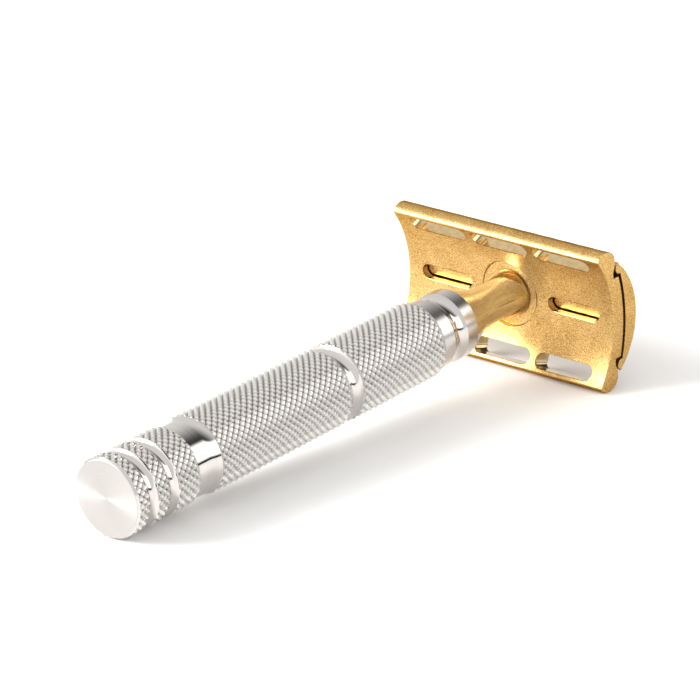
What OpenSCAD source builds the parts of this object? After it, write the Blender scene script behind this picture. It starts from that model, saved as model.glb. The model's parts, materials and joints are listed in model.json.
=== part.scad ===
// Double-edge safety razor, lying as it rests on a table: on the lower rim of its
// end knob and the lower guard bar of its head. The handle points towards +Y.
// Every piece is first made upright to the handle's own axis (+Y from the knob's
// face to the head, +X along the blade, +Z away from the lower guard bar), and
// lie_down() then tips the whole razor onto its two contact points.

/* [Handle] */
// Diameter over the knurled bands and grips
grip_d = 13.4; // [12:0.1:16]
// Diameter of the flat on the knob's end face
knob_face_d = 12.7; // [10:0.1:13]
// Chamfer on the rims of the knurled pieces
rim_break = 0.35; // [0.1:0.05:0.6]
// Length of the first knurled band of the knob, at the end face
band_1_l = 2.6; // [1.5:0.1:5]
// Length of the second knurled band
band_2_l = 2.6; // [1.5:0.1:5]
// Length of the third knurled band
band_3_l = 4.9; // [2:0.1:9]
// Width of each polished groove between the knob's bands
knob_groove_w = 2.1; // [1:0.1:3]
// Depth of those grooves
knob_groove_depth = 0.8; // [0.3:0.05:1.2]
// Length of the plain polished band next to the lower grip
plain_band_l = 5.2; // [4:0.1:10]
// Diameter of the plain polished band
plain_band_d = 12.4; // [11:0.1:13]
// Length of the cove that rises from the plain band to the lower grip
plain_cove_l = 1.9; // [1:0.1:3]
// Length of the lower knurled grip
lower_grip_l = 31.4; // [15:0.1:60]
// Length of the knurled part of the upper grip
upper_knurl_l = 20.9; // [10:0.1:40]
// Width of the polished groove between the two grips
mid_groove_w = 2.8; // [1.5:0.1:4]
// Depth of that groove
mid_groove_depth = 0.9; // [0.3:0.05:1.3]

/* [Neck] */
// Diameter of the two lands of the collar
collar_d = 11.9; // [11:0.1:13]
// Length of the land next to the upper grip
land_1_l = 3.1; // [1:0.1:6]
// Width of the cove between the lands
collar_cove_w = 3.2; // [2:0.1:5]
// Depth of that cove
collar_cove_depth = 0.6; // [0.3:0.05:1]
// Length of the land next to the neck
land_2_l = 2.7; // [1:0.1:6]
// Diameter where the neck leaves the collar
neck_root_d = 11.2; // [9.5:0.1:11.6]
// Diameter at the neck's waist
neck_waist_d = 6.6; // [6:0.1:8]
// Diameter of the neck's flared end, where it seats in the base plate
neck_flare_d = 8.3; // [7.4:0.1:10]
// Length of the neck from collar to base plate
neck_l = 15.9; // [13:0.1:25]
// Distance from the waist to the flared end
waist_to_end = 5.7; // [4:0.1:8]

/* [Head] */
// Length of base plate and cap, along the blade
head_l = 43; // [40:0.5:50]
// Radius of the hollow underside of the base plate
valley_r = 18.5; // [16:0.1:24]
// Thickness of the base plate at its middle
plate_t = 2.8; // [2:0.1:4]
// Radius of the crowned top of the base plate
crown_r = 26; // [22:0.5:40]
// Width of the crowned platform that the blade bends over
crown_w = 14.2; // [12:0.1:15]
// Height of the channel floor above the middle of the hollow underside
channel_floor_h = 0.45; // [0:0.05:0.8]
// Radius of the rounded guard bars
guard_r = 2.5; // [2:0.05:3]
// Distance between the centre lines of the two guard bars
guard_spacing = 19.6; // [18:0.1:22]
// Drop of a guard bar's centre line below the middle of the underside
guard_drop = 1.55; // [1:0.05:2.2]
// Diameter of the flat seat machined in the underside for the neck
seat_d = 11.3; // [9.5:0.1:13]
// Depth of that seat at the middle of the hollow
seat_depth = 0.15; // [0.05:0.05:0.6]

/* [Lather slots] */
// Length of one lather slot, over its round ends
lather_l = 11.5; // [8:0.1:12]
// Width of a lather slot
lather_w = 2.7; // [1.5:0.1:3]
// Width of the web between two lather slots
lather_web = 1.35; // [0.8:0.05:3]
// Distance of a slot's centre from the middle of the underside
lather_off = 9.43; // [9:0.01:10]
// Lean of the slots towards the guard bars, in degrees
lather_lean = 18; // [0:1:20]

/* [Guard scallops] */
// Number of scallops along a guard bar
scallops = 11; // [5:1:13]
// Distance between two scallops
scallop_pitch = 3.9; // [3:0.1:6]
// Radius of a scallop's hollow
scallop_r = 6; // [3:0.5:10]
// Depth of a scallop
scallop_depth = 0.35; // [0.1:0.05:0.5]
// Direction in which the scallops are cut, up from the bar's outer side, in degrees
scallop_lean = 40; // [20:1:60]

/* [Cap] */
// Width of the cap
cap_w = 18.9; // [17:0.1:19]
// Radius of the cap's crowned top
cap_top_r = 12.2; // [11.5:0.1:14]
// Thickness of the cap at its middle
cap_t = 2.85; // [2.4:0.05:4]
// Gap between the cap and the base plate
blade_gap = 0.55; // [0.3:0.05:1]
// Thickness of the blade that the cap's boss clamps
blade_t = 0.1; // [0.08:0.01:0.2]
// Diameter of the boss round the stud
boss_d = 7.6; // [6.5:0.1:9]
// Inner end of an alignment slot, from the middle of the head
align_inner_x = 8.03; // [6:0.01:9]
// Outer end of an alignment slot
align_outer_x = 18.56; // [15:0.01:19]
// Width of an alignment slot
align_w = 2.4; // [1.5:0.1:3]
// How far the cap's alignment bars stop short of the middle of the underside
align_recess = 1.45; // [0.5:0.05:2]
// Clearance round the alignment bars
align_fit = 0.2; // [0.05:0.01:0.3]
// Length of a corner lug along the blade
lug_l = 2.4; // [1:0.1:3]
// Width of a corner lug
lug_w = 1.9; // [1:0.1:2.1]
// Height of a lug's tip above the middle of the underside
lug_tip_h = 1.05; // [0.8:0.05:1.4]

/* [Threads] */
// Nominal diameter of the cap's stud
stud_d = 5; // [4:0.5:5]
// How far the stud reaches into the neck
stud_reach = 7.6; // [5:0.1:11]
// Depth of the stud's blind hole in the cap, from the cap's boss
stud_seat = 2.2; // [1.5:0.1:2.6]
// Extra depth of the neck's threaded hole past the stud
thread_relief = 1.4; // [0.5:0.1:3]
// Radial clearance of the stud in the neck's threaded hole
thread_fit = 0.05; // [0.01:0.01:0.1]
// Radial clearance of the stud in the base plate
plate_fit = 0.3; // [0.2:0.05:0.5]
// Diameter of the joining studs inside the handle
joiner_d = 6; // [4:0.5:8]
// Length of a joining stud
joiner_l = 12; // [6:0.5:16]
// Radial clearance of the joining studs
joiner_fit = 0.02; // [0.01:0.01:0.1]
// Extra depth of the joining studs' holes
joiner_relief = 0.5; // [0.2:0.1:2]
// Clearance between the neck's end and its seat in the base plate
seat_fit = 0.02; // [0.01:0.01:0.05]

/* [Hidden] */
$fn = 96;
past = 1;
steel = [0.86, 0.85, 0.83];
bright_steel = [0.93, 0.92, 0.90];
gold = [0.84, 0.65, 0.33];
grip_r = grip_d / 2;

// Stations along the handle, from the knob's face
groove_1_y = band_1_l;
groove_2_y = groove_1_y + knob_groove_w + band_2_l;
plain_band_y = groove_2_y + knob_groove_w + band_3_l;
knob_l = plain_band_y + plain_band_l;
mid_groove_y = knob_l + lower_grip_l;
upper_grip_l = mid_groove_w + upper_knurl_l;
collar_y = mid_groove_y + upper_grip_l;
collar_cove_y = collar_y + land_1_l;
land_2_y = collar_cove_y + collar_cove_w;
neck_y = land_2_y + land_2_l;
neck_end_y = neck_y + neck_l;
waist_y = neck_end_y - waist_to_end;

// Heights in the head, along the handle's axis
valley_y = neck_end_y + seat_fit - seat_depth;
guard_y = valley_y - guard_drop;
guard_z = guard_spacing / 2;
plate_top_y = valley_y + plate_t;
cap_under_y = plate_top_y + blade_gap;
cap_top_y = cap_under_y + cap_t;
boss_y = plate_top_y + blade_t;
channel_y = valley_y + channel_floor_h;
lug_r = lug_w / 2;

// The tilt at which the knob's rim and the lower guard bar touch one flat surface
rim_y = rim_break;
run = guard_y - rim_y;
rise = guard_z - grip_r;
tilt = asin(guard_r / norm([run, rise])) + atan2(rise, run);
lift = grip_r * cos(tilt) - rim_y * sin(tilt);
front_y = -knob_face_d / 2 * sin(tilt);
back_y = (cap_top_y - cap_top_r) * cos(tilt) + cap_top_r;

module lie_down() {
    translate([0, -(front_y + back_y) / 2, lift])
        rotate([tilt, 0, 0])
            children();
}

// Turns a profile drawn as [radius, station] about the handle's axis
module turned() {
    rotate([-90, 0, 0])
        rotate_extrude()
            children();
}

// A hole along the handle's axis
module axial_hole(r, y, l) {
    translate([0, y, 0])
        rotate([-90, 0, 0])
            cylinder(r = r, h = l);
}

// Half profile of a knurled length with both rims chamfered
module knurled_profile(y, l, start_r) {
    polygon([[0, y], [start_r, y], [grip_r, y + grip_r - start_r],
             [grip_r, y + l - rim_break], [grip_r - rim_break, y + l], [0, y + l]]);
}

// Circle that cuts a groove of a given width and depth in a surface of radius r
module groove_cut(y, w, depth, r) {
    cut_r = (w * w / 4 + depth * depth) / (2 * depth);
    translate([r - depth + cut_r, y + w / 2])
        circle(r = cut_r);
}

module joiner_hole(y, side) {
    deep = joiner_l / 2 + joiner_relief;
    axial_hole(joiner_d / 2 + joiner_fit, side > 0 ? y - past : y - deep, deep + past);
}

// The polished bottoms of the knob's grooves and its plain band stay inside the grips' radius
module end_knob() {
    cove_depth = (grip_d - plain_band_d) / 2 - rim_break / 2;
    cove_r = (plain_cove_l * plain_cove_l + cove_depth * cove_depth) / (2 * cove_depth);
    color(steel) lie_down()
        difference() {
            turned()
                difference() {
                    union() {
                        knurled_profile(0, plain_band_y, knob_face_d / 2);
                        translate([0, plain_band_y - past])
                            square([plain_band_d / 2, plain_band_l + past]);
                        difference() {
                            translate([0, knob_l - plain_cove_l])
                                square([plain_band_d / 2 + cove_depth, plain_cove_l]);
                            translate([plain_band_d / 2 + cove_r, knob_l - plain_cove_l])
                                circle(r = cove_r);
                        }
                    }
                    groove_cut(groove_1_y, knob_groove_w, knob_groove_depth, grip_r);
                    groove_cut(groove_2_y, knob_groove_w, knob_groove_depth, grip_r);
                }
            joiner_hole(knob_l, -1);
        }
}

module lower_grip() {
    color(steel) lie_down()
        difference() {
            turned() knurled_profile(knob_l, lower_grip_l, grip_r - rim_break);
            joiner_hole(knob_l, 1);
            joiner_hole(mid_groove_y, -1);
        }
}

module upper_grip() {
    color(steel) lie_down()
        difference() {
            turned()
                difference() {
                    knurled_profile(mid_groove_y, upper_grip_l, grip_r - rim_break);
                    groove_cut(mid_groove_y, mid_groove_w, mid_groove_depth, grip_r - rim_break);
                }
            joiner_hole(mid_groove_y, 1);
            joiner_hole(collar_y, -1);
        }
}

// The neck is a cone that runs tangent into one long concave arc
module neck_profile() {
    dip = (neck_flare_d - neck_waist_d) / 2;
    arc_r = (waist_to_end * waist_to_end + dip * dip) / (2 * dip);
    centre = [neck_waist_d / 2 + arc_r, waist_y];
    root = [neck_root_d / 2, neck_y];
    away = norm(centre - root);
    touch_l = sqrt(away * away - arc_r * arc_r);
    aim = atan2(centre[1] - root[1], centre[0] - root[0]) + asin(arc_r / away);
    touch = root + touch_l * [cos(aim), sin(aim)];
    difference() {
        polygon([[0, neck_y - past], [root[0], neck_y - past], root, touch,
                 [neck_flare_d / 2, neck_end_y], [0, neck_end_y]]);
        translate(centre) circle(r = arc_r, $fn = 360);
    }
}

module neck_collar() {
    color(bright_steel) lie_down()
        difference() {
            turned() {
                difference() {
                    translate([0, collar_y])
                        square([collar_d / 2, neck_y - collar_y]);
                    groove_cut(collar_cove_y, collar_cove_w, collar_cove_depth, collar_d / 2);
                }
                neck_profile();
            }
            joiner_hole(collar_y, 1);
            axial_hole(stud_d / 2, neck_end_y - stud_reach - thread_relief,
                       stud_reach + thread_relief + past);
        }
}

module joining_studs() {
    color(bright_steel) lie_down()
        for (y = [knob_l, mid_groove_y, collar_y])
            axial_hole(joiner_d / 2, y - joiner_l / 2, joiner_l);
}

// An oblong with round ends, centred, in the plane across the handle's axis
module oblong(l, w) {
    square([l - w, w], center = true);
    for (side = [-1, 1])
        translate([side * (l - w) / 2, 0])
            circle(d = w);
}

// Stretches a head profile drawn as [height from the blade's centre line, station]
module along_blade(l) {
    rotate([0, -90, 0])
        linear_extrude(height = l, center = true)
            children();
}

module plate_profile() {
    difference() {
        union() {
            intersection() {
                translate([0, plate_top_y - crown_r])
                    circle(r = crown_r, $fn = 360);
                translate([-crown_w / 2, valley_y - guard_r])
                    square([crown_w, plate_t + 2 * guard_r]);
            }
            translate([-guard_z, guard_y])
                square([guard_spacing, channel_y - guard_y]);
            for (side = [-1, 1])
                translate([side * guard_z, guard_y])
                    circle(r = guard_r);
        }
        translate([0, valley_y - valley_r])
            circle(r = valley_r, $fn = 360);
    }
}

module lather_slots() {
    slot_y = valley_y - valley_r + sqrt(valley_r * valley_r - lather_off * lather_off);
    for (side = [-1, 1])
        for (i = [-1, 0, 1])
            translate([i * (lather_l + lather_web), slot_y, side * lather_off])
                rotate([side * lather_lean - 90, 0, 0])
                    linear_extrude(height = 4 * guard_r, center = true)
                        oblong(lather_l, lather_w);
}

module guard_scallops() {
    for (side = [0, 1])
        mirror([0, 0, side])
            translate([0, guard_y, guard_z])
                rotate([scallop_lean - 90, 0, 0])
                    for (i = [0 : scallops - 1])
                        translate([(i - (scallops - 1) / 2) * scallop_pitch, 0,
                                   guard_r - scallop_depth + scallop_r])
                            rotate([90, 0, 0])
                                cylinder(r = scallop_r, h = 2 * guard_r, center = true);
}

module align_oblongs(fit) {
    for (side = [-1, 1])
        translate([side * (align_inner_x + align_outer_x) / 2, 0])
            oblong(align_outer_x - align_inner_x - 2 * fit, align_w - 2 * fit);
}

module base_plate() {
    color(gold) lie_down()
        difference() {
            along_blade(head_l) plate_profile();
            lather_slots();
            guard_scallops();
            translate([0, valley_y - past, 0])
                rotate([-90, 0, 0])
                    linear_extrude(height = plate_t + 2 * past)
                        align_oblongs(0);
            axial_hole(seat_d / 2, valley_y - guard_r, guard_r + seat_depth);
            axial_hole(stud_d / 2 + plate_fit, valley_y - past, plate_t + 2 * past);
        }
}

module cap_section() {
    intersection() {
        translate([0, cap_top_y - cap_top_r])
            circle(r = cap_top_r, $fn = 360);
        translate([-cap_w / 2, valley_y])
            square([cap_w, cap_top_y - valley_y]);
    }
}

module cap_profile() {
    difference() {
        cap_section();
        translate([0, plate_top_y - crown_r])
            circle(r = crown_r + blade_gap, $fn = 360);
    }
}

module lug_profile() {
    intersection() {
        cap_section();
        for (side = [-1, 1])
            translate([side * (cap_w / 2 - lug_r), valley_y + lug_tip_h + lug_r]) {
                circle(r = lug_r);
                translate([-lug_r, 0])
                    square([lug_w, cap_under_y - valley_y - lug_tip_h - lug_r]);
            }
    }
}

module cap() {
    color(gold) lie_down()
        difference() {
            union() {
                along_blade(head_l) cap_profile();
                for (side = [-1, 1])
                    translate([side * (head_l - lug_l) / 2, 0, 0])
                        along_blade(lug_l) lug_profile();
                translate([0, valley_y + align_recess, 0])
                    rotate([-90, 0, 0])
                        linear_extrude(height = cap_under_y - valley_y - align_recess + cap_t / 4)
                            align_oblongs(align_fit);
                axial_hole(boss_d / 2, boss_y, cap_under_y - boss_y + cap_t / 4);
            }
            axial_hole(stud_d / 2 - thread_fit, boss_y - past, stud_seat + past);
        }
}

module cap_stud() {
    color(bright_steel) lie_down()
        axial_hole(stud_d / 2 - thread_fit, neck_end_y - stud_reach,
                   boss_y + stud_seat - neck_end_y + stud_reach);
}

end_knob();
lower_grip();
upper_grip();
neck_collar();
joining_studs();
base_plate();
cap();
cap_stud();
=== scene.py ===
# %% [markdown]
# # A double-edge safety razor
# The razor lies on a pale table. Its head is bead-blasted gold: a base plate with guard bars and
# a crowned cap. Its handle is stainless steel, turned on a lathe and knurled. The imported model
# already has every piece at its right size and place, so each step below makes one piece or one
# finish with the detail that such a piece has when it leaves the workshop.

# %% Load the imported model
import json
import math

import bmesh
import bpy
import numpy as np
from mathutils import Matrix, Vector


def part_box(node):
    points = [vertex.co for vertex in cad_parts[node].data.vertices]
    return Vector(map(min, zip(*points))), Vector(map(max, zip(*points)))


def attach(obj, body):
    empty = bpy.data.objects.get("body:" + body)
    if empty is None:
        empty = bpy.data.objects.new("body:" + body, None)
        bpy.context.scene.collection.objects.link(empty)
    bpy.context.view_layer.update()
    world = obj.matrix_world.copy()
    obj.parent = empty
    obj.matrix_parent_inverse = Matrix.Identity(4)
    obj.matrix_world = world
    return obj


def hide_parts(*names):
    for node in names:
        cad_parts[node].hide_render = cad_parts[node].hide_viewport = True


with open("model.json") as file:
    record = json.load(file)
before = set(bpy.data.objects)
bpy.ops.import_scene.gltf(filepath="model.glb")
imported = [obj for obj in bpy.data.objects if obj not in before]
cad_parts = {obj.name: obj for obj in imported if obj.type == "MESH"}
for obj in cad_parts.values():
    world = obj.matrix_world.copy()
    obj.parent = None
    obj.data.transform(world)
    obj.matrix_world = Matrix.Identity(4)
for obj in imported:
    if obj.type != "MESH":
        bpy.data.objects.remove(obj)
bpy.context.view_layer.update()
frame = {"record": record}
MM = 0.001

# %% [markdown]
# The razor rests on the rim of its knob and on its lower guard bar, so the handle's own axis
# climbs a little towards the head. All turned pieces share that axis. It is simplest to model
# them upright, with Z along the axis and zero at the knob's face, and to let one matrix lay
# them down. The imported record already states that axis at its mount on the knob's end.

# %% The handle's own axis
mounts = {mount["name"]: mount for mount in frame["record"]["mounts"]}
knob_face = Vector(mounts["knob_end"]["pos_m"])
along = -Vector(mounts["knob_end"]["axis"]).normalized()
across = Vector((1, 0, 0))
lying = Matrix((across, along.cross(across), along)).transposed().to_4x4()
lying.translation = knob_face
print("handle climbs", round(math.degrees(math.asin(along.z)), 2), "degrees")

# %% [markdown]
# A long lens from a raised corner shows the knob, the handle and the hollow side of the head in
# one view. The camera is placed by its heading, its height angle and its distance from a point
# on the handle, and then tipped half a degree.

# %% Camera
AIM = Vector((-0.0031, 0.00904, 0.01237))
HEADING, LOOK_DOWN, TIP = math.radians(40.046), math.radians(20.164), math.radians(-0.5515)
DISTANCE = 0.80733
LENS = 258.1

toward = Vector((
    -math.sin(HEADING) * math.cos(LOOK_DOWN),
    math.cos(HEADING) * math.cos(LOOK_DOWN),
    -math.sin(LOOK_DOWN),
))
camera_data = bpy.data.cameras.new("camera")
camera_data.lens = LENS
camera_data.clip_start, camera_data.clip_end = 0.05, 20
camera = bpy.data.objects.new("camera", camera_data)
level = toward.to_track_quat("-Z", "Y").to_matrix()
camera.matrix_world = (level @ Matrix.Rotation(TIP, 3, "Z")).to_4x4()
camera.location = AIM - toward * DISTANCE
bpy.context.scene.collection.objects.link(camera)
bpy.context.scene.camera = camera
print("camera at", [round(v, 3) for v in camera.location])

# %% [markdown]
# Polished metal shows the room more than itself, so the studio matters as much as the finish.
# White paper all round keeps the metal light. One softbox stands in front on the left. Behind
# the razor the room fades to a dark corner, and a white panel stands before it on the right,
# so a polished band turns from grey to nearly black and then to a crisp white stripe.

# %% Small helpers for shader nodes
def new_material(name):
    made = bpy.data.materials.new(name)
    made.use_nodes = True
    return made, made.node_tree.nodes, made.node_tree.links


def add_node(nodes, kind, **settings):
    made = nodes.new(kind)
    for key, value in settings.items():
        setattr(made, key, value)
    return made


def add_ramp(nodes, stops):
    ramp = nodes.new("ShaderNodeValToRGB")
    while len(ramp.color_ramp.elements) < len(stops):
        ramp.color_ramp.elements.new(0.5)
    for element, (place, shade) in zip(ramp.color_ramp.elements, stops):
        element.position = place
        element.color = (*shade, 1) if isinstance(shade, tuple) else (shade, shade, shade, 1)
    return ramp


# %% [markdown]
# The razor lies on plain white paper. One large flat face is enough, and a slightly rough, barely
# shiny white lets the contact shadow stay soft.

# %% Table
def make_table():
    mesh = bpy.data.meshes.new("table")
    half = 4.0
    corners = [(-half, -half, 0), (half, -half, 0), (half, half, 0), (-half, half, 0)]
    mesh.from_pydata(corners, [], [(0, 1, 2, 3)])
    table = bpy.data.objects.new("table", mesh)
    bpy.context.scene.collection.objects.link(table)
    material, nodes, links = new_material("table_white")
    shader = nodes["Principled BSDF"]
    shader.inputs["Base Color"].default_value = (0.95, 0.945, 0.94, 1)
    shader.inputs["Roughness"].default_value = 0.6
    shader.inputs["Specular IOR Level"].default_value = 0.2
    mesh.materials.append(material)
    return table


table = make_table()
print("table:", [round(v, 1) for v in table.dimensions[:2]], "m")


# %% [markdown]
# One softbox does the work of the key light. It stands in front on the left and a little above,
# so the shadow falls to the back and right, and its size keeps the shadow's edge soft.

# %% Lights
KEY_POWER = 25
WHITE_PAPER, DARK_CORNER, FRONT_GLOW, PANEL = 0.97, 0.06, 0.6, 2.2
GAP_SHADE = 0.6


def softbox(name, place, aim, width, height, power, tint=(1, 1, 1)):
    data = bpy.data.lights.new(name, "AREA")
    data.shape = "RECTANGLE"
    data.size, data.size_y = width, height
    data.energy = power
    data.color = tint
    light = bpy.data.objects.new(name, data)
    light.location = place
    light.rotation_euler = (Vector(aim) - Vector(place)).to_track_quat("-Z", "Y").to_euler()
    bpy.context.scene.collection.objects.link(light)
    return light


key = softbox("key_left", (-0.88, -0.85, 0.68), (0, 0, 0), 0.8, 0.6, KEY_POWER, (1, 0.99, 0.975))
print(key.name, "at", round(key.location.length, 2), "m, facing the razor")


# %% [markdown]
# The room is built from directions alone. Each part of it, such as the dark corner or the white
# panel, is a smooth step on how closely a direction points at it, and the parts are multiplied
# and added. Nothing stands in the scene, so nothing can block the light or cast a shadow.

# %% Room
def add_map(nodes, links, source, low, high, to_low, to_high, smooth=True):
    """Turns a value that runs from low to high into one that runs from to_low to to_high."""
    made = add_node(nodes, "ShaderNodeMapRange", interpolation_type="SMOOTHSTEP" if smooth else "LINEAR")
    for name, value in (("From Min", low), ("From Max", high), ("To Min", to_low), ("To Max", to_high)):
        made.inputs[name].default_value = value
    links.new(source, made.inputs["Value"])
    return made.outputs["Result"]


def add_math(nodes, links, how, first, second):
    made = add_node(nodes, "ShaderNodeMath", operation=how)
    for socket, value in zip(made.inputs, (first, second)):
        if isinstance(value, (int, float)):
            socket.default_value = value
        else:
            links.new(value, socket)
    return made.outputs[0]


def bearing(degrees, height=0):
    """The direction at a bearing from straight behind the razor, and at a height angle."""
    turn, rise = math.radians(degrees), math.radians(height)
    return (math.sin(turn) * math.cos(rise), math.cos(turn) * math.cos(rise), math.sin(rise))


def make_room():
    world = bpy.data.worlds.new("room")
    bpy.context.scene.world = world
    world.use_nodes = True
    nodes, links = world.node_tree.nodes, world.node_tree.links
    place = add_node(nodes, "ShaderNodeTexCoord").outputs["Generated"]
    split = add_node(nodes, "ShaderNodeSeparateXYZ")
    links.new(place, split.inputs[0])
    height = split.outputs["Z"]

    def facing(direction, flatten):
        source = place
        if flatten:
            level = add_node(nodes, "ShaderNodeVectorMath", operation="MULTIPLY")
            level.inputs[1].default_value = (1, 1, 0)
            links.new(place, level.inputs[0])
            unit = add_node(nodes, "ShaderNodeVectorMath", operation="NORMALIZE")
            links.new(level.outputs[0], unit.inputs[0])
            source = unit.outputs[0]
        dot = add_node(nodes, "ShaderNodeVectorMath", operation="DOT_PRODUCT")
        dot.inputs[1].default_value = direction
        links.new(source, dot.inputs[0])
        return dot.outputs["Value"]

    def times(first, second):
        return add_math(nodes, links, "MULTIPLY", first, second)

    # White paper all round, fading into a dark corner of the room behind and above
    dark = add_map(nodes, links, facing(bearing(28), False), 0.22, 0.72, WHITE_PAPER, DARK_CORNER)
    front = add_map(nodes, links, facing(bearing(-142, 6), False), 0.55, 0.95, 0, FRONT_GLOW)
    paper = add_math(nodes, links, "ADD", dark, front)
    # The white panel stands behind and to the right, with a dark gap under it
    low_edge = add_map(nodes, links, height, 0.05, 0.16, 0, 1)
    high_edge = add_map(nodes, links, height, 0.58, 0.70, 1, 0)
    side_edge = add_map(nodes, links, facing(bearing(60), True), 0.74, 0.86, 0, 1)
    panel = times(times(low_edge, high_edge), side_edge)
    gap = times(add_map(nodes, links, height, 0.04, 0.12, 1, 0), side_edge)
    lit = add_math(nodes, links, "ADD", paper, times(panel, PANEL))
    shaded = times(lit, add_math(nodes, links, "SUBTRACT", 1, times(gap, GAP_SHADE)))
    warm = add_node(nodes, "ShaderNodeCombineXYZ")
    links.new(shaded, warm.inputs[0])
    links.new(times(shaded, 0.995), warm.inputs[1])
    links.new(times(shaded, 0.985), warm.inputs[2])
    links.new(warm.outputs[0], nodes["Background"].inputs["Color"])


make_room()
bpy.context.scene.view_settings.view_transform = "Standard"
print("table, softbox and room are in place")

# %% [markdown]
# The head is gold that was bead-blasted: thousands of tiny dents scatter the light, so it looks
# satin and slightly grainy and shows no sharp reflection. The slots were milled afterwards and
# keep a shinier, slightly browner wall. Metal takes its colour from its reflections, so both are
# fully metallic, with fine noise in the surface normal and a little in the roughness.

# %% Gold finishes
def blasted_gold():
    material, nodes, links = new_material("gold_blasted")
    shader = nodes["Principled BSDF"]
    shader.inputs["Metallic"].default_value = 1
    shader.inputs["Specular Tint"].default_value = (0.42, 0.27, 0.14, 1)
    place = add_node(nodes, "ShaderNodeTexCoord")
    grain = add_node(nodes, "ShaderNodeTexNoise")
    grain.inputs["Scale"].default_value = 5200
    grain.inputs["Detail"].default_value = 3
    grain.inputs["Roughness"].default_value = 0.7
    links.new(place.outputs["Object"], grain.inputs["Vector"])
    cloud = add_node(nodes, "ShaderNodeTexNoise")
    cloud.inputs["Scale"].default_value = 260
    cloud.inputs["Detail"].default_value = 4
    links.new(place.outputs["Object"], cloud.inputs["Vector"])
    blend = add_node(nodes, "ShaderNodeMix", data_type="FLOAT")
    blend.inputs["Factor"].default_value = 0.15
    links.new(grain.outputs["Fac"], blend.inputs["A"])
    links.new(cloud.outputs["Fac"], blend.inputs["B"])
    colour = add_ramp(nodes, [(0.36, (0.31, 0.155, 0.038)), (0.5, (0.61, 0.378, 0.136)), (0.64, (0.90, 0.64, 0.28))])
    links.new(blend.outputs["Result"], colour.inputs[0])
    links.new(colour.outputs[0], shader.inputs["Base Color"])
    rough = add_node(nodes, "ShaderNodeMapRange")
    rough.inputs["To Min"].default_value = 0.20
    rough.inputs["To Max"].default_value = 0.42
    links.new(grain.outputs["Fac"], rough.inputs["Value"])
    links.new(rough.outputs[0], shader.inputs["Roughness"])
    bump = add_node(nodes, "ShaderNodeBump")
    bump.inputs["Strength"].default_value = 0.6
    bump.inputs["Distance"].default_value = 0.00005
    links.new(grain.outputs["Fac"], bump.inputs["Height"])
    links.new(bump.outputs[0], shader.inputs["Normal"])
    return material


def machined_gold():
    material, nodes, links = new_material("gold_machined")
    shader = nodes["Principled BSDF"]
    shader.inputs["Metallic"].default_value = 1
    shader.inputs["Roughness"].default_value = 0.16
    place = add_node(nodes, "ShaderNodeTexCoord")
    marks = add_node(nodes, "ShaderNodeTexNoise")
    marks.inputs["Scale"].default_value = 900
    marks.inputs["Detail"].default_value = 2
    links.new(place.outputs["Object"], marks.inputs["Vector"])
    colour = add_ramp(nodes, [(0.3, (0.60, 0.44, 0.22)), (0.7, (0.72, 0.54, 0.29))])
    links.new(marks.outputs["Fac"], colour.inputs[0])
    links.new(colour.outputs[0], shader.inputs["Base Color"])
    bump = add_node(nodes, "ShaderNodeBump")
    bump.inputs["Strength"].default_value = 0.15
    bump.inputs["Distance"].default_value = 0.00003
    links.new(marks.outputs["Fac"], bump.inputs["Height"])
    links.new(bump.outputs[0], shader.inputs["Normal"])
    return material


gold = blasted_gold()
gold_wall = machined_gold()


# %% [markdown]
# The handle is stainless steel straight from the lathe. The tool leaves hairlines that run round
# the bar, so the light spreads along them into long streaks. One function makes every turned
# finish, from the polished coves to the faced end, and the roughness, the hairlines and the tint
# change. The faced end is tinted darker than the rest, which is painted shade. The knurl has its
# own, with a painted highlight on its ridges and painted shade in its pits, both in the base colour.

# %% Steel finishes
def turned_steel(name, roughness, lines, depth, tint, spread=0.5):
    """Steel from the lathe. Its hairlines run round the piece's own Z axis."""
    material, nodes, links = new_material(name)
    shader = nodes["Principled BSDF"]
    shader.inputs["Metallic"].default_value = 1
    shader.inputs["Anisotropic"].default_value = spread
    place = add_node(nodes, "ShaderNodeTexCoord")
    split = add_node(nodes, "ShaderNodeSeparateXYZ")
    links.new(place.outputs["Object"], split.inputs[0])
    reach = add_node(nodes, "ShaderNodeVectorMath", operation="LENGTH")
    flat = add_node(nodes, "ShaderNodeCombineXYZ")
    links.new(split.outputs["X"], flat.inputs["X"])
    links.new(split.outputs["Y"], flat.inputs["Y"])
    links.new(flat.outputs[0], reach.inputs[0])
    ring = add_node(nodes, "ShaderNodeCombineXYZ")
    links.new(split.outputs["Z"], ring.inputs["X"])
    links.new(reach.outputs["Value"], ring.inputs["Y"])
    hair = add_node(nodes, "ShaderNodeTexNoise")
    hair.inputs["Scale"].default_value = lines
    hair.inputs["Detail"].default_value = 4
    hair.inputs["Roughness"].default_value = 0.7
    links.new(ring.outputs[0], hair.inputs["Vector"])
    colour = add_ramp(nodes, [(0.25, tuple(0.86 * c for c in tint)), (0.6, tint)])
    links.new(hair.outputs["Fac"], colour.inputs[0])
    links.new(colour.outputs[0], shader.inputs["Base Color"])
    rough = add_node(nodes, "ShaderNodeMapRange")
    rough.inputs["To Min"].default_value = 0.7 * roughness
    rough.inputs["To Max"].default_value = 1.3 * roughness
    links.new(hair.outputs["Fac"], rough.inputs["Value"])
    links.new(rough.outputs[0], shader.inputs["Roughness"])
    bump = add_node(nodes, "ShaderNodeBump")
    bump.inputs["Strength"].default_value = 0.5
    bump.inputs["Distance"].default_value = depth
    links.new(hair.outputs["Fac"], bump.inputs["Height"])
    links.new(bump.outputs[0], shader.inputs["Normal"])
    spin = add_node(nodes, "ShaderNodeTangent", direction_type="RADIAL", axis="Z")
    links.new(spin.outputs[0], shader.inputs["Tangent"])
    return material


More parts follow.
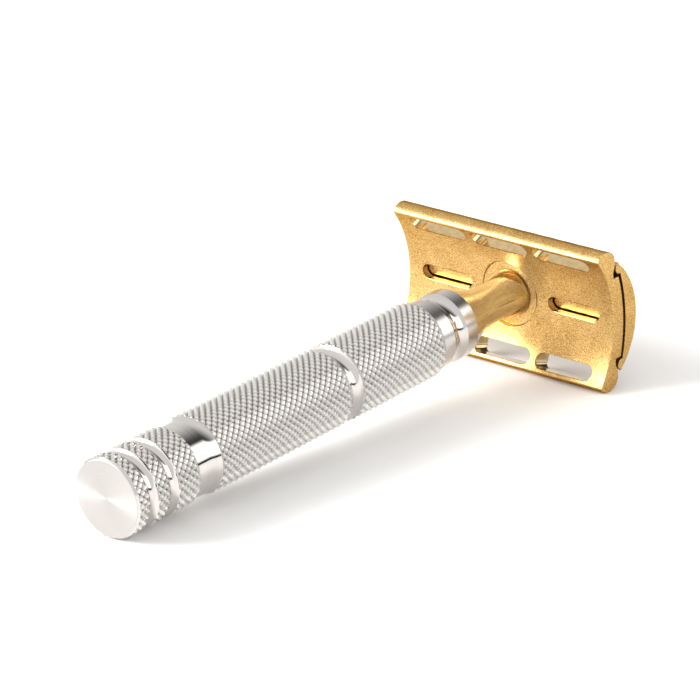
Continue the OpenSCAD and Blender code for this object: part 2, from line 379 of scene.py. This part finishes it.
steel_tint = (0.68, 0.65, 0.62)
polished = turned_steel("steel_polished", 0.07, 1800, 0.0000002, steel_tint, 0.2)
mirror = turned_steel("steel_neck", 0.10, 2600, 0.0000006, (0.80, 0.77, 0.73), 0.3)
hairline = turned_steel("steel_hairline", 0.22, 5200, 0.0000025, (0.64, 0.61, 0.58))
# The faced steel is tinted darker than the other steel: painted shade for the knob's end face, which also lands on
# the chamfers at the knurls' ends.
faced = turned_steel("steel_faced", 0.32, 5200, 0.0000015, (0.56, 0.54, 0.515), 0.85)


def knurled_steel():
    material, nodes, links = new_material("steel_knurled")
    shader = nodes["Principled BSDF"]
    shader.inputs["Metallic"].default_value = 1
    shader.inputs["Roughness"].default_value = 0.17
    place = add_node(nodes, "ShaderNodeTexCoord")
    painted_pit_shade = add_node(nodes, "ShaderNodeAttribute", attribute_name="pit")
    speckle = add_node(nodes, "ShaderNodeTexNoise")
    speckle.inputs["Scale"].default_value = 2500
    speckle.inputs["Detail"].default_value = 2
    links.new(place.outputs["Object"], speckle.inputs["Vector"])
    # Painted highlight on the ridge tops and painted shade deep in the pits, put into the base colour.
    shade = add_ramp(nodes, [(0.0, (0.96, 0.935, 0.90)), (0.4, (0.69, 0.665, 0.635)), (1.0, (0.10, 0.085, 0.07))])
    links.new(painted_pit_shade.outputs["Fac"], shade.inputs[0])
    mottle = add_node(nodes, "ShaderNodeMix", data_type="RGBA", blend_type="MULTIPLY")
    mottle.inputs["Factor"].default_value = 0.25
    links.new(shade.outputs[0], mottle.inputs["A"])
    links.new(speckle.outputs["Fac"], mottle.inputs["B"])
    links.new(mottle.outputs["Result"], shader.inputs["Base Color"])
    bump = add_node(nodes, "ShaderNodeBump")
    bump.inputs["Strength"].default_value = 0.25
    bump.inputs["Distance"].default_value = 0.00002
    links.new(speckle.outputs["Fac"], bump.inputs["Height"])
    links.new(bump.outputs[0], shader.inputs["Normal"])
    return material


knurled = knurled_steel()
made = sorted(material.name for material in bpy.data.materials)
print("finishes:", [name for name in made if name.startswith(("gold", "steel"))])

# %% [markdown]
# Every handle piece is round, so each is spun from a list of rings, as a lathe would cut it. A
# ring is a station along the axis and a radius, in millimetres. The radius may vary round the
# ring, which is all that a knurl or a screw thread needs.

# %% Rings and the lathe
DIAMONDS_ROUND = 31
STEPS = 8
ROUND = DIAMONDS_ROUND * STEPS


class Lathe:
    """Collects rings from one end of a piece to the other, then spins them into a mesh."""

    def __init__(self, name, finishes, around=ROUND):
        self.name, self.finishes, self.around = name, finishes, around
        self.angles = np.arange(around) * (2 * math.pi / around)
        self.stations, self.radii, self.pits, self.slots = [], [], [], []

    def ring(self, station, radius, finish=0, pit=0.0):
        self.stations.append(station)
        self.radii.append(np.broadcast_to(np.asarray(radius, float), (self.around,)))
        self.pits.append(np.broadcast_to(np.asarray(pit, float), (self.around,)))
        self.slots.append(finish)

    def spin(self):
        count = len(self.stations)
        radii = np.array(self.radii)
        x, y = radii * np.cos(self.angles), radii * np.sin(self.angles)
        z = np.repeat(np.array(self.stations)[:, None], self.around, 1)
        points = np.stack([x, y, z], 2).reshape(-1, 3) * MM
        faces, slots = [], []
        for i in range(count - 1):
            low, high = i * self.around, (i + 1) * self.around
            uneven = np.ptp(radii[i]) > 0 or np.ptp(radii[i + 1]) > 0
            for j in range(self.around):
                k = (j + 1) % self.around
                a, b, c, d = low + j, low + k, high + k, high + j
                if not uneven:
                    faces.append((a, b, c, d))
                elif abs(radii[i][j] - radii[i + 1][k]) < abs(radii[i][k] - radii[i + 1][j]):
                    faces += [(a, b, c), (a, c, d)]
                else:
                    faces += [(a, b, d), (b, c, d)]
                slots += [self.slots[i + 1]] * (2 if uneven else 1)
        mesh = bpy.data.meshes.new(self.name)
        mesh.from_pydata(points, [], faces)
        for finish in self.finishes:
            mesh.materials.append(finish)
        mesh.polygons.foreach_set("material_index", slots)
        # The knurl's painted shade travels with each point as an attribute.
        pit = mesh.attributes.new("pit", "FLOAT", "POINT")
        pit.data.foreach_set("value", np.array(self.pits).reshape(-1))
        close_ends(mesh)
        mesh.shade_smooth()
        mesh.set_sharp_from_angle(angle=math.radians(28))
        made = bpy.data.objects.new(self.name, mesh)
        bpy.context.scene.collection.objects.link(made)
        made.matrix_world = lying
        return made


def close_ends(mesh):
    """Rings of no radius become single points, so the ends are closed."""
    shell = bmesh.new()
    shell.from_mesh(mesh)
    bmesh.ops.remove_doubles(shell, verts=shell.verts, dist=1e-8)
    bmesh.ops.dissolve_degenerate(shell, edges=shell.edges, dist=1e-9)
    bmesh.ops.recalc_face_normals(shell, faces=shell.faces)
    shell.to_mesh(mesh)
    shell.free()


print("points round a knurled piece:", ROUND)

# %% [markdown]
# A diamond knurl is two families of V grooves that wind round the bar in opposite directions.
# Where a point lies between grooves is its phase in each family, so its depth is the deeper of
# the two. Rings and ring points fall on the grooves exactly, which keeps the ridges crisp, and
# a chamfer turned on each end takes the last diamonds down to the rim.

# %% Knurl
GRIP_R = 6.7
DIAMOND = 1.383
KNURL_DEPTH = 0.38
RIDGE = 0.40
FACED, POLISHED, KNURLED, BORE = 0, 1, 2, 3


def knurl(lathe, start, length, rim_low, rim_high):
    rings = max(STEPS, round(length / DIAMOND * STEPS))
    for i in range(rings + 1):
        phase_along = i / STEPS
        phase_round = lathe.angles / (2 * math.pi) * DIAMONDS_ROUND
        families = []
        for sign in (1, -1):
            phase = phase_along + sign * phase_round
            off = np.abs(phase - np.round(phase))
            families.append(np.clip(1 - off / RIDGE, 0, 1))
        depth = np.maximum(*families)
        # How far a point lies down from the ridge tops; the knurl finish paints a highlight where it is low and
        # shade where it is high.
        pit = np.clip(0.45 * depth + 0.55 * families[0] * families[1], 0, 1)
        from_low, from_high = i / rings * length, (1 - i / rings) * length
        rim = GRIP_R - max(0, rim_low - from_low) - max(0, rim_high - from_high)
        finish = FACED if min(from_low - rim_low, length - from_low - rim_high) < 0 else KNURLED
        lathe.ring(start + from_low, np.minimum(GRIP_R - KNURL_DEPTH * depth, rim), finish, pit)


def arc_dip(start, width, depth, radius, count=18):
    """Stations and radii of a groove with a round bottom."""
    cut = (width * width / 4 + depth * depth) / (2 * depth)
    half = math.asin(width / 2 / cut)
    for i in range(count + 1):
        turn = half * (2 * i / count - 1)
        yield start + width / 2 + cut * math.sin(turn), radius - depth + cut * (1 - math.cos(turn))


print("a diamond is", DIAMOND, "mm along and", round(2 * math.pi * GRIP_R / DIAMONDS_ROUND, 3), "mm round")

# %% [markdown]
# The end knob has three knurled bands with two polished grooves between them, a faced end and a
# plain polished band that sweeps up to the lower grip. It was turned in one piece, and a blind
# hole in its inner end takes the first joining stud.

# %% End knob
FACE_R = 6.35
RIM = 0.35
BAND_1, BAND_2, BAND_3 = 2.6, 2.6, 4.9
KNOB_GROOVE, KNOB_GROOVE_DEPTH = 2.1, 0.8
PLAIN_BAND, PLAIN_R, PLAIN_COVE = 5.2, 6.2, 1.9
COVE_STEPS = 12
JOINER_R, JOINER_DEPTH = 3.02, 6.5
FINE = 0.12

knob_length = BAND_1 + BAND_2 + BAND_3 + 2 * KNOB_GROOVE + PLAIN_BAND
handle_finishes = [faced, polished, knurled, hairline]


def stud_hole(lathe, station, inward, outer):
    """From a piece's end face down its blind hole to the bottom; inward is 1 along the axis, -1 back."""
    steps = [(station, outer), (station, JOINER_R), (station + inward * JOINER_DEPTH, JOINER_R),
             (station + inward * JOINER_DEPTH, 0)]
    for place, radius in steps if inward < 0 else reversed(steps):
        lathe.ring(place, radius, BORE)


def make_end_knob():
    lathe = Lathe("end_knob_turned", handle_finishes)
    for radius in (0, 1.5, 3, 4.5, FACE_R - 0.25, FACE_R - 0.06):
        lathe.ring(0, radius, FACED)
    lathe.ring(0.05, FACE_R, FACED)
    lathe.ring(RIM, GRIP_R - 0.07, POLISHED)
    knurl(lathe, RIM, BAND_1 - RIM, 0.07, FINE)
    station = BAND_1
    for band in (BAND_2, BAND_3):
        for place, radius in arc_dip(station, KNOB_GROOVE, KNOB_GROOVE_DEPTH, GRIP_R - FINE):
            lathe.ring(place, radius, POLISHED)
        station += KNOB_GROOVE
        knurl(lathe, station, band, FINE, FINE)
        station += band
    lathe.ring(station, PLAIN_R, POLISHED)
    foot = station + PLAIN_BAND - PLAIN_COVE
    lathe.ring(foot, PLAIN_R, POLISHED)
    rise = GRIP_R - RIM / 2 - PLAIN_R
    cut = (PLAIN_COVE ** 2 + rise ** 2) / (2 * rise)
    for i in range(1, COVE_STEPS + 1):
        step = PLAIN_COVE * i / COVE_STEPS
        lathe.ring(foot + step, PLAIN_R + cut - math.sqrt(cut * cut - step * step), POLISHED)
    stud_hole(lathe, knob_length, -1, PLAIN_R + rise)
    return lathe.spin()


def finish_piece(piece, node, body):
    """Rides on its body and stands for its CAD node."""
    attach(piece, body)
    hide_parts(node)
    low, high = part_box(node)
    print(piece.name, len(piece.data.polygons), "faces for", node, [round(v / MM, 1) for v in high - low], "mm")


end_knob = make_end_knob()
finish_piece(end_knob, "end_knob", "handle")


# %% [markdown]
# Both grips are knurled bar with a chamfer at each end. The upper one starts with a polished
# groove, which a finger finds by touch. Each has a blind hole in both ends for a joining stud.

# %% Grips
LOWER_GRIP = 31.4
MID_GROOVE, MID_GROOVE_DEPTH = 2.8, 0.9
UPPER_KNURL = 20.9
mid_joint = knob_length + LOWER_GRIP
collar_joint = mid_joint + MID_GROOVE + UPPER_KNURL


def make_lower_grip():
    lathe = Lathe("lower_grip_knurled", handle_finishes)
    stud_hole(lathe, knob_length, 1, GRIP_R - RIM)
    knurl(lathe, knob_length, LOWER_GRIP, RIM, RIM)
    stud_hole(lathe, mid_joint, -1, GRIP_R - RIM)
    return lathe.spin()


def make_upper_grip():
    lathe = Lathe("upper_grip_knurled", handle_finishes)
    stud_hole(lathe, mid_joint, 1, GRIP_R - RIM)
    for place, radius in arc_dip(mid_joint, MID_GROOVE, MID_GROOVE_DEPTH, GRIP_R - RIM):
        lathe.ring(place, radius, POLISHED)
    knurl(lathe, mid_joint + MID_GROOVE, UPPER_KNURL, RIM, RIM)
    stud_hole(lathe, collar_joint, -1, GRIP_R - RIM)
    return lathe.spin()


lower_grip = make_lower_grip()
finish_piece(lower_grip, "lower_grip", "handle")
upper_grip = make_upper_grip()
finish_piece(upper_grip, "upper_grip", "handle")

# %% [markdown]
# The collar and the neck are one turned piece. Two lands keep their fine lathe lines, and the
# cove between them and the neck are polished, so the neck mirrors the gold plate above it. The
# neck starts as a cone and runs tangent into one long hollow arc that flares at its end.

# %% Neck and collar
COLLAR_R = 5.95
LAND_1, COLLAR_COVE, COLLAR_COVE_DEPTH, LAND_2 = 3.1, 3.2, 0.6, 2.7
NECK_ROOT_R, WAIST_R, FLARE_R = 5.6, 3.3, 4.15
NECK, WAIST_TO_END = 15.9, 5.7
STUD_R, STUD_REACH, THREAD_RELIEF, THREAD_FIT = 2.5, 7.6, 1.4, 0.05
neck_start = collar_joint + LAND_1 + COLLAR_COVE + LAND_2
neck_end = neck_start + NECK
FOOT = 0.22
PLAIN, BRUSHED, MIRROR = 0, 1, 2


def neck_line(count=40):
    """Stations and radii of the neck, from its root to its flare."""
    dip = FLARE_R - WAIST_R
    arc = (WAIST_TO_END ** 2 + dip ** 2) / (2 * dip)
    waist = neck_end - WAIST_TO_END
    centre = Vector((waist, WAIST_R + arc))
    root = Vector((neck_start, NECK_ROOT_R))
    away = centre - root
    aim = math.atan2(away.y, away.x) - math.asin(arc / away.length)
    touch = root + Vector((math.cos(aim), math.sin(aim))) * math.sqrt(away.length ** 2 - arc ** 2)
    for i in range(9):
        yield tuple(root.lerp(touch, i / 8))
    for i in range(1, count + 1):
        place = touch.x + (neck_end - FOOT - touch.x) * i / count
        yield place, centre.y - math.sqrt(arc ** 2 - (place - waist) ** 2)


def make_neck():
    lathe = Lathe("neck_collar_turned", [polished, hairline, mirror])
    for place, radius in ((collar_joint + JOINER_DEPTH, 0), (collar_joint + JOINER_DEPTH, JOINER_R),
                          (collar_joint, JOINER_R), (collar_joint, COLLAR_R - FINE)):
        lathe.ring(place, radius, PLAIN)
    lathe.ring(collar_joint + FINE, COLLAR_R, BRUSHED)
    lathe.ring(collar_joint + LAND_1 - 0.05, COLLAR_R, BRUSHED)
    cove = collar_joint + LAND_1
    for place, radius in arc_dip(cove, COLLAR_COVE, COLLAR_COVE_DEPTH, COLLAR_R - 0.03, 24):
        lathe.ring(place, radius, PLAIN)
    land = cove + COLLAR_COVE
    lathe.ring(land + 0.05, COLLAR_R, PLAIN)
    lathe.ring(land + LAND_2 - FINE, COLLAR_R, BRUSHED)
    lathe.ring(land + LAND_2, COLLAR_R - FINE, BRUSHED)
    for place, radius in neck_line():
        lathe.ring(place, radius, MIRROR)
    hole_r = STUD_R
    hole_end = neck_end - STUD_REACH - THREAD_RELIEF
    for place, radius in ((neck_end, FLARE_R - FOOT), (neck_end, hole_r + 0.15), (neck_end - 0.15, hole_r),
                          (hole_end, hole_r), (hole_end, 0)):
        lathe.ring(place, radius, PLAIN)
    return lathe.spin()


neck = make_neck()
finish_piece(neck, "neck_collar", "handle")

# %% [markdown]
# A screw thread is one groove that climbs a pitch for every turn, so the radius at a point
# depends only on its station minus its share of a turn. The stud in the cap and the three
# joining studs inside the handle are cut this way, with the crest kept inside the plain
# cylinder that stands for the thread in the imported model.

# %% Threads
machined = turned_steel("steel_machined", 0.26, 3000, 0.000002, (0.66, 0.645, 0.625))


def threaded_rod(name, start, length, radius, pitch, depth):
    lathe = Lathe(name, [machined], 48)
    rings = round(length / pitch * 8)
    lathe.ring(start, 0)
    for i in range(rings + 1):
        climbed = i / rings * length
        phase = (climbed / pitch - lathe.angles / (2 * math.pi)) % 1
        tooth = np.clip(np.abs(phase - 0.5) * 2.6 - 0.15, 0, 1)
        ends = max(0, depth - climbed, depth - (length - climbed))
        lathe.ring(start + climbed, np.minimum(radius - depth * tooth, radius - ends))
    lathe.ring(start + length, 0)
    return lathe.spin()


SEAT_FIT, SEAT_DEPTH = 0.02, 0.15
VALLEY = neck_end + SEAT_FIT - SEAT_DEPTH
PLATE_T, BLADE_GAP, BLADE_T, CAP_T = 2.8, 0.55, 0.1, 2.85
STUD_SEAT = 2.2
plate_top = VALLEY + PLATE_T
boss = plate_top + BLADE_T
stud_start = neck_end - STUD_REACH
STUD_PITCH, STUD_THREAD = 0.8, 0.42
cap_stud = threaded_rod("cap_stud_threaded", stud_start, boss + STUD_SEAT - stud_start,
                        STUD_R - THREAD_FIT, STUD_PITCH, STUD_THREAD)
finish_piece(cap_stud, "cap_stud", "head_cap")

JOINER_LENGTH, JOINER_STUD_R = 12, 3
JOINER_PITCH, JOINER_THREAD = 1.0, 0.5
joiners = [threaded_rod("joining_stud_%d" % (i + 1), station - JOINER_LENGTH / 2, JOINER_LENGTH,
                        JOINER_STUD_R, JOINER_PITCH, JOINER_THREAD)
           for i, station in enumerate((knob_length, mid_joint, collar_joint))]
for rod in joiners:
    finish_piece(rod, "joining_studs", "handle")

# %% [markdown]
# Both halves of the head keep one section over their whole length, so each starts as an outline
# swept along the blade. The slots, the seat for the neck and the scallops are then cut out of it
# as a milling machine would, and every edge that is left is rounded a little, because blasting
# takes the sharpness off an edge.

# %% Outlines and solids for the head
HEAD = 43.0
VALLEY_R, CROWN_R, CROWN_W, CHANNEL = 18.5, 26.0, 14.2, 0.45
GUARD_R, GUARD_Z, GUARD_DROP = 2.5, 9.8, 1.55
guard_station = VALLEY - GUARD_DROP


def arc_points(centre, radius, start, stop, count):
    """Points on an arc, as (height, station); angles in degrees from the height axis."""
    turns = [math.radians(start + (stop - start) * i / count) for i in range(count + 1)]
    return [(centre[0] + radius * math.cos(t), centre[1] + radius * math.sin(t)) for t in turns]


def solid(name, outline, length, finish, crescent=False):
    """Sweeps an outline of (height, station) points along the blade, centred.

    A crescent's outline runs out along one arc and back along the other, point for point, so its
    ends can be closed with a strip of narrow faces, which never fold over each other.
    """
    shell = bmesh.new()
    low, high = [[shell.verts.new((x, -height, station)) for height, station in outline]
                 for x in (-length / 2, length / 2)]
    size = len(outline)
    for j in range(size):
        k = (j + 1) % size
        shell.faces.new((low[j], low[k], high[k], high[j]))
    for end in (low, high):
        if crescent:
            for j in range(size // 2 - 1):
                shell.faces.new((end[j], end[j + 1], end[size - 2 - j], end[size - 1 - j]))
        else:
            shell.faces.new(end)
    return to_object(name, shell, finish)


def to_object(name, shell, finish):
    bmesh.ops.recalc_face_normals(shell, faces=shell.faces)
    mesh = bpy.data.meshes.new(name)
    shell.to_mesh(mesh)
    shell.free()
    mesh.materials.append(finish)
    made = bpy.data.objects.new(name, mesh)
    bpy.context.scene.collection.objects.link(made)
    return made


def prism(shell, outline, low, high, turn=Matrix.Identity(4)):
    """Adds a straight-sided solid on an (x, y) outline, from z low to z high, in millimetres."""
    bottom = [shell.verts.new(turn @ Vector((x, y, low))) for x, y in outline]
    top = [shell.verts.new(turn @ Vector((x, y, high))) for x, y in outline]
    for i in range(len(outline)):
        j = (i + 1) % len(outline)
        shell.faces.new((bottom[i], bottom[j], top[j], top[i]))
    shell.faces.new(reversed(bottom))
    shell.faces.new(top)


def oblong(length, width, count=12, centre=(0, 0)):
    straight = (length - width) / 2
    right = [(straight + width / 2 * math.cos(t), width / 2 * math.sin(t))
             for t in np.linspace(-math.pi / 2, math.pi / 2, count + 1)]
    return [(centre[0] + x, centre[1] + y) for x, y in right] + [(centre[0] - x, centre[1] - y) for x, y in right]


def disc(radius, count=64):
    return [(radius * math.cos(t), radius * math.sin(t)) for t in np.arange(count) * 2 * math.pi / count]


def cut(target, cutter, how="DIFFERENCE"):
    step = target.modifiers.new(how.lower(), "BOOLEAN")
    step.operation, step.object, step.solver = how, cutter, "MANIFOLD"
    step.material_mode = "TRANSFER"
    apply_modifiers(target)
    bpy.data.objects.remove(cutter)


def apply_modifiers(target):
    bpy.context.view_layer.update()
    shaped = target.evaluated_get(bpy.context.evaluated_depsgraph_get())
    mesh = bpy.data.meshes.new_from_object(shaped)
    target.modifiers.clear()
    target.data = mesh


def round_edges(target, width, smallest=25):
    """Rounds the sharp edges; nothing may end up outside the box the piece had before."""
    before = np.array([vertex.co for vertex in target.data.vertices])
    low_corner, high_corner = before.min(axis=0), before.max(axis=0)
    step = target.modifiers.new("round", "BEVEL")
    step.width, step.segments = width, 2
    step.limit_method, step.angle_limit = "ANGLE", math.radians(smallest)
    step.use_clamp_overlap = False
    step.loop_slide = False
    step.miter_outer = "MITER_ARC"
    apply_modifiers(target)
    shell = bmesh.new()
    shell.from_mesh(target.data)
    for vertex in shell.verts:
        vertex.co = np.clip(vertex.co, low_corner, high_corner)
    bmesh.ops.remove_doubles(shell, verts=shell.verts, dist=0.002)
    bmesh.ops.dissolve_degenerate(shell, edges=shell.edges, dist=0.002)
    many = [face for face in shell.faces if len(face.verts) > 4]
    bmesh.ops.triangulate(shell, faces=many, ngon_method="EAR_CLIP")
    shell.to_mesh(target.data)
    shell.free()
    target.data.shade_smooth()
    target.data.set_sharp_from_angle(angle=math.radians(40))
    weigh = target.modifiers.new("weigh", "WEIGHTED_NORMAL")
    weigh.keep_sharp, weigh.weight = True, 90
    apply_modifiers(target)


def lay_down(target):
    """From millimetres to metres, and from upright to its place on the table."""
    target.data.transform(Matrix.Scale(MM, 4))
    target.matrix_world = lying
    return target


print("head:", HEAD, "mm long, its hollow starts", round(VALLEY, 2), "mm up the axis")

# %% [markdown]
# The base plate carries the blade on its crown and guards it with a round bar on each side. Its
# outline runs over the crown, down the step to the channel, round the bar and back under the
# hollow. Lather slots, scallops, alignment slots, the neck's seat and the bore are then cut.

# %% Base plate
def plate_outline():
    crown = VALLEY + PLATE_T - CROWN_R
    half_crown = math.degrees(math.asin(CROWN_W / 2 / CROWN_R))
    channel = VALLEY + CHANNEL
    enter = math.degrees(math.asin((channel - guard_station) / GUARD_R))
    # Where a guard bar meets the hollow underside
    centre = Vector((GUARD_Z, guard_station - (VALLEY - VALLEY_R)))
    reach = centre.length
    along_line = (reach ** 2 + GUARD_R ** 2 - VALLEY_R ** 2) / (2 * reach)
    lean = math.degrees(math.atan2(centre.y, centre.x))
    spread = math.degrees(math.acos(along_line / GUARD_R))
    leave, meet = min(((turn, Vector((GUARD_Z + GUARD_R * math.cos(math.radians(turn)),
                                      guard_station + GUARD_R * math.sin(math.radians(turn)))))
                       for turn in (lean + 180 - spread, lean + 180 + spread)), key=lambda found: found[1].y)
    hollow = math.degrees(math.atan2(meet.y - (VALLEY - VALLEY_R), meet.x))
    right = arc_points((0, crown), CROWN_R, 90, 90 - half_crown, 12)
    right += [(CROWN_W / 2, channel)]
    right += arc_points((GUARD_Z, guard_station), GUARD_R, 180 - enter, leave - 360, 44)
    under = arc_points((0, VALLEY - VALLEY_R), VALLEY_R, hollow, 90, 24)
    half = right + under[1:]
    return half + [(-height, station) for height, station in reversed(half[1:-1])]


LATHER_L, LATHER_W, LATHER_WEB, LATHER_OFF, LATHER_LEAN = 11.5, 2.7, 1.35, 9.43, 18
SCALLOPS, PITCH, SCALLOP_R, SCALLOP_DEPTH, SCALLOP_LEAN = 11, 3.9, 6.0, 0.35, 40
ALIGN_IN, ALIGN_OUT, ALIGN_W, ALIGN_FIT, ALIGN_RECESS = 8.03, 18.56, 2.4, 0.2, 1.45
SEAT_R, PLATE_FIT, PLATE_EDGE = 5.65, 0.3, 0.17


def shift(x, y, z):
    return Matrix.Translation(Vector((x, y, z)))


def slot_cutter():
    shell = bmesh.new()
    station = VALLEY - VALLEY_R + math.sqrt(VALLEY_R ** 2 - LATHER_OFF ** 2)
    for side in (-1, 1):
        for i in (-1, 0, 1):
            turn = shift(i * (LATHER_L + LATHER_WEB), -side * LATHER_OFF, station)
            turn = turn @ Matrix.Rotation(math.radians(side * LATHER_LEAN), 4, "X")
            prism(shell, oblong(LATHER_L, LATHER_W, 16), -5, 5, turn)
    return to_object("slot_cutter", shell, gold_wall)


def scallop_cutter():
    """Both rows of scallops; each row is one wavy prism, so neighbours never overlap."""
    wave = []
    for i in range(SCALLOPS):
        middle = (i - (SCALLOPS - 1) / 2) * PITCH
        low = -PITCH / 2 - (0.3 if i == 0 else 0)
        high = PITCH / 2 + (0.3 if i == SCALLOPS - 1 else 0)
        for u in np.linspace(low, high, 11)[0 if i == 0 else 1:]:
            wave.append((middle + u, GUARD_R - SCALLOP_DEPTH + SCALLOP_R - math.sqrt(SCALLOP_R ** 2 - u * u)))
    wave += [(wave[-1][0], 5), (wave[0][0], 5)]
    shell = bmesh.new()
    for side in (-1, 1):
        lean = Matrix.Rotation(math.radians(side * SCALLOP_LEAN), 4, "X") @ Matrix.Rotation(math.radians(90), 4, "X")
        prism(shell, wave, -GUARD_R, GUARD_R, shift(0, -side * GUARD_Z, guard_station) @ lean)
    return to_object("scallop_cutter", shell, gold)


def align_prisms(shell, fit, low, high):
    for side in (-1, 1):
        middle = side * (ALIGN_IN + ALIGN_OUT) / 2
        prism(shell, oblong(ALIGN_OUT - ALIGN_IN - 2 * fit, ALIGN_W - 2 * fit, 12, (middle, 0)), low, high)


def make_base_plate():
    plate = solid("base_plate_blasted", plate_outline(), HEAD, gold)
    cut(plate, slot_cutter())
    cut(plate, scallop_cutter())
    shell = bmesh.new()
    align_prisms(shell, 0, VALLEY - 1, VALLEY + PLATE_T + 1)
    cut(plate, to_object("align_cutter", shell, gold_wall))
    shell = bmesh.new()
    prism(shell, disc(SEAT_R, 96), VALLEY - GUARD_R, VALLEY + SEAT_DEPTH)
    cut(plate, to_object("seat_cutter", shell, gold))
    shell = bmesh.new()
    prism(shell, disc(STUD_R + PLATE_FIT), VALLEY - 1, VALLEY + PLATE_T + 1)
    cut(plate, to_object("bore_cutter", shell, gold_wall))
    round_edges(plate, PLATE_EDGE)
    return lay_down(plate)


base_plate = make_base_plate()
finish_piece(base_plate, "base_plate", "head_plate")


# %% [markdown]
# The cap bends the blade over the base plate. It is a crescent between two arcs, with four tabs
# at its corners, two bars that drop into the plate's slots and a boss for the stud. They are
# joined to the crescent as one solid, because the real ones are machined out of it.

# %% Cap
CAP_W, CAP_TOP_R, BOSS_R = 18.9, 12.2, 3.8
LUG_L, LUG_W, LUG_TIP = 2.4, 1.9, 1.05
HAIR, CAP_EDGE = 0.02, 0.1
cap_top = plate_top + BLADE_GAP + CAP_T


def cap_outline():
    edge = CAP_W / 2
    top = math.degrees(math.acos(edge / CAP_TOP_R))
    under_r = CROWN_R + BLADE_GAP
    under = math.degrees(math.acos(edge / under_r))
    outline = arc_points((0, cap_top - CAP_TOP_R), CAP_TOP_R, top, 180 - top, 64)
    return outline + arc_points((0, plate_top - CROWN_R), under_r, 180 - under, under, 64)


def lug_outline(side):
    """A tab's outline; it stops a hair inside the cap's own faces, so the two join cleanly."""
    radius = LUG_W / 2
    middle = CAP_W / 2 - radius - HAIR
    tip = arc_points((middle, VALLEY + LUG_TIP + radius), radius, 180, 360, 14)
    outline = tip + [(middle + radius, plate_top - 1.13), (middle - radius, plate_top - 0.2)]
    return [(side * height, station) for height, station in outline]


def make_cap():
    body = solid("cap_blasted", cap_outline(), HEAD, gold, crescent=True)
    for side in (-1, 1):
        for end in (-1, 1):
            lug = solid("lug", lug_outline(side), LUG_L, gold)
            lug.data.transform(shift(end * ((HEAD - LUG_L) / 2 - HAIR), 0, 0))
            cut(body, lug, "UNION")
    shell = bmesh.new()
    align_prisms(shell, ALIGN_FIT, VALLEY + ALIGN_RECESS, plate_top + BLADE_GAP + CAP_T / 4)
    prism(shell, disc(BOSS_R), boss, plate_top + BLADE_GAP + CAP_T / 4)
    cut(body, to_object("bars_and_boss", shell, gold), "UNION")
    shell = bmesh.new()
    prism(shell, disc(STUD_R - THREAD_FIT), boss - 1, boss + STUD_SEAT)
    cut(body, to_object("stud_cutter", shell, gold_wall))
    round_edges(body, CAP_EDGE)
    return lay_down(body)


cap = make_cap()
finish_piece(cap, "cap", "head_cap")
